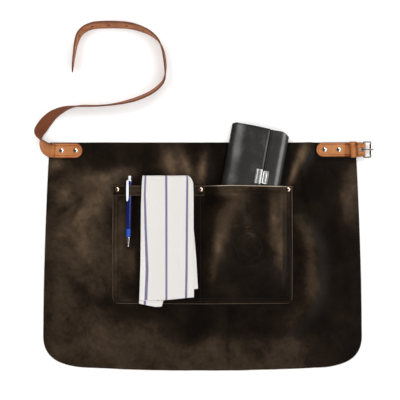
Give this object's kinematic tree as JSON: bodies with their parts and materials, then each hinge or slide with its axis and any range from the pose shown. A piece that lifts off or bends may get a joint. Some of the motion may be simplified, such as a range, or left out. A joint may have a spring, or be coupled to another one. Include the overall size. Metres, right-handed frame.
{
  "type": "leather waist apron",
  "caption": "Leather waist apron laid flat, with a patch pocket, towel band and buckled waist belt, carrying a towel, a click pen and a waiter's wallet.",
  "frame": {"origin": "middle of the back face of the folded waist hem, on the surface the apron lies on", "axes": "+X along the waist towards the buckle, +Y up the apron from its bottom edge to its waist, +Z out of the apron's front"},
  "size_m": [0.7025, 0.724, 0.0325],
  "materials": {
    "apron_leather": "dark brown oiled pull-up leather, satin",
    "strap_leather": "tan vegetable-tanned leather, satin",
    "copper_rivet": "polished rose copper plating",
    "nickel": "polished nickel plating",
    "pen_blue": "gloss blue",
    "pen_white": "gloss white",
    "pen_grip_rubber": "matt blue",
    "towel_cotton": "woven cotton with thin blue-grey stripes",
    "wallet_leather": "smooth black leather, satin",
    "wallet_inside": "matt black lining and card leaves"
  },
  "bodies": {
    "apron": {"apron_panel": "apron_leather", "waist_hem": "apron_leather", "pocket_panel": "apron_leather", "towel_band": "apron_leather", "pocket_rivet_1": "copper_rivet", "pocket_rivet_burr_1": "copper_rivet", "pocket_rivet_2": "copper_rivet", "pocket_rivet_burr_2": "copper_rivet", "pocket_rivet_3": "copper_rivet", "pocket_rivet_burr_3": "copper_rivet", "belt_rivet_1": "nickel", "belt_rivet_burr_1": "nickel", "belt_rivet_2": "nickel", "belt_rivet_burr_2": "nickel", "tab_rivet_1": "nickel", "tab_rivet_burr_1": "nickel", "tab_rivet_2": "nickel", "tab_rivet_burr_2": "nickel", "belt_strap": "strap_leather", "buckle_tab": "strap_leather"},
    "keeper": {"keeper_loop": "strap_leather"},
    "buckle": {"buckle_frame": "nickel"},
    "roller": {"buckle_roller": "nickel"},
    "prong": {"buckle_prong": "nickel"},
    "pen": {"pen_nose": "nickel", "pen_grip": "pen_grip_rubber", "pen_barrel": "pen_blue", "pen_collar": "pen_blue", "pen_clip": "pen_white"},
    "pen_click": {"pen_button": "pen_white", "pen_refill": "nickel"},
    "towel": {"towel": "towel_cotton"},
    "wallet": {"wallet_wrap": "wallet_leather", "wallet_core": "wallet_inside", "wallet_clasp_plate": "nickel", "wallet_clasp_hasp": "nickel"}
  },
  "joints": [
    {"name": "keeper_slide", "type": "slide", "parent": "apron", "child": "keeper", "axis": [1, 0, 0], "range_m": [-0.004, 0.003]},
    {"name": "buckle_hinge", "type": "hinge", "parent": "apron", "child": "buckle", "pos_m": [0.3325, -0.003, 0.012], "axis": [0, -1, 0], "range_deg": [-15, 60]},
    {"name": "prong_hinge", "type": "hinge", "parent": "buckle", "child": "prong", "pos_m": [0.3325, -0.003, 0.012], "axis": [0, -1, 0], "range_deg": [0, 55]},
    {"name": "roller_spin", "type": "hinge", "parent": "buckle", "child": "roller", "pos_m": [0.3489, -0.003, 0.012], "axis": [0, -1, 0], "continuous": true},
    {"name": "pen_slide", "type": "slide", "parent": "apron", "child": "pen", "axis": [0.0225, 0.9997, 0], "range_m": [0, 0.12]},
    {"name": "pen_button_press", "type": "slide", "parent": "pen", "child": "pen_click", "axis": [0.0225, 0.9997, 0], "range_m": [-0.004, 0], "stiffness_N_per_m": 400},
    {"name": "towel_slide", "type": "slide", "parent": "apron", "child": "towel", "axis": [0, 1, 0], "range_m": [0, 0.14]},
    {"name": "wallet_slide", "type": "slide", "parent": "apron", "child": "wallet", "axis": [0.1754, 0.9845, 0], "range_m": [0, 0.1]}
  ]
}
